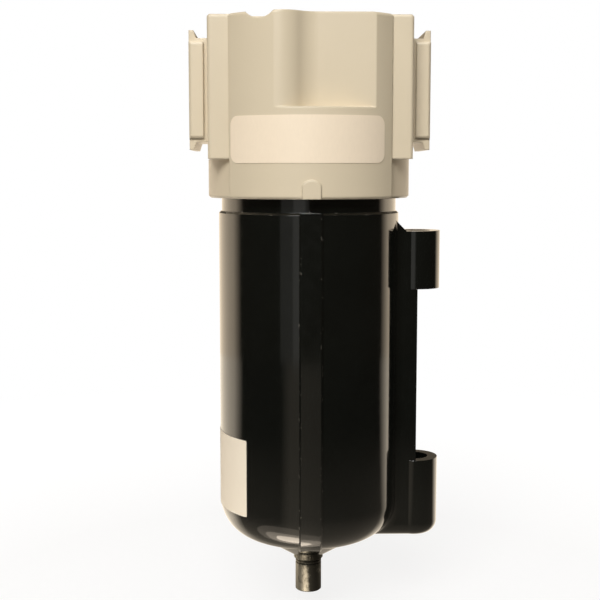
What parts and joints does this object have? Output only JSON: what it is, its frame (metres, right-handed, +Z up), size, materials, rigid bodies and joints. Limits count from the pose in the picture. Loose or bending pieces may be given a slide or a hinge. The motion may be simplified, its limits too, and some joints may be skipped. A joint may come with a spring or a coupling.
{
  "type": "condensate drain valve",
  "caption": "Float operated condensate drain for a compressed air line: square die cast head with clamp flange ports, black metal bowl with a sight tube arm, drain stem below.",
  "frame": {"origin": "centre of the drain stem's lower end, on the bowl's axis", "axes": "+Z up along the bowl's axis towards the head, +X towards the outlet port and the sight tube arm, -Y the labelled front"},
  "size_m": [0.0772, 0.0658, 0.1796],
  "materials": {
    "head_paint": "gloss beige grey paint over a die casting",
    "bowl_paint": "gloss black paint over a casting",
    "label_film": "satin adhesive film",
    "stem_metal": "tarnished turned metal",
    "seal_rubber": "matte nitrile rubber",
    "deflector_plastic": "moulded acetal",
    "drain_plastic": "moulded acetal",
    "float_plastic": "moulded nylon shell",
    "zinc_steel": "zinc plated steel",
    "screen_steel": "stainless strainer sheet",
    "spring_steel": "stainless spring wire",
    "nozzle_brass": "turned brass"
  },
  "bodies": {
    "head": {"head": "head_paint", "head_label": "label_film", "deflector_stud": "zinc_steel", "deflector": "deflector_plastic", "deflector_nut": "zinc_steel"},
    "seal_carrier": {"bowl_seal": "seal_rubber"},
    "bowl": {"bowl": "bowl_paint", "bowl_label": "label_film", "drain_stem": "stem_metal", "stem_gasket": "seal_rubber", "drain_housing": "drain_plastic", "drain_screen": "screen_steel", "float_guide": "drain_plastic", "pilot_nozzle": "nozzle_brass", "piston_spring": "spring_steel"},
    "float": {"float": "float_plastic", "pilot_pad": "seal_rubber"},
    "piston": {"drain_piston": "drain_plastic", "piston_seal": "seal_rubber", "valve_disc": "seal_rubber"}
  },
  "joints": [
    {"name": "bowl_drop", "type": "slide", "parent": "head", "child": "seal_carrier", "axis": [0, 0, -1], "range_m": [0, 0.008]},
    {"name": "bowl_unscrew", "type": "hinge", "parent": "seal_carrier", "child": "bowl", "pos_m": [0, 0, 0.13], "axis": [0, 0, -1], "range_deg": [0, 1440]},
    {"name": "float_rise", "type": "slide", "parent": "bowl", "child": "float", "axis": [0, 0, 1], "range_m": [0, 0.005]},
    {"name": "drain_stroke", "type": "slide", "parent": "bowl", "child": "piston", "axis": [0, 0, -1], "range_m": [0, 0.0025], "stiffness_N_per_m": 400, "springref_m": -0.002, "deforming": ["piston_spring"]}
  ],
  "couplings": [
    {"joint": "bowl_drop", "follows": "bowl_unscrew", "m_per_rad": 0.00031831}
  ]
}
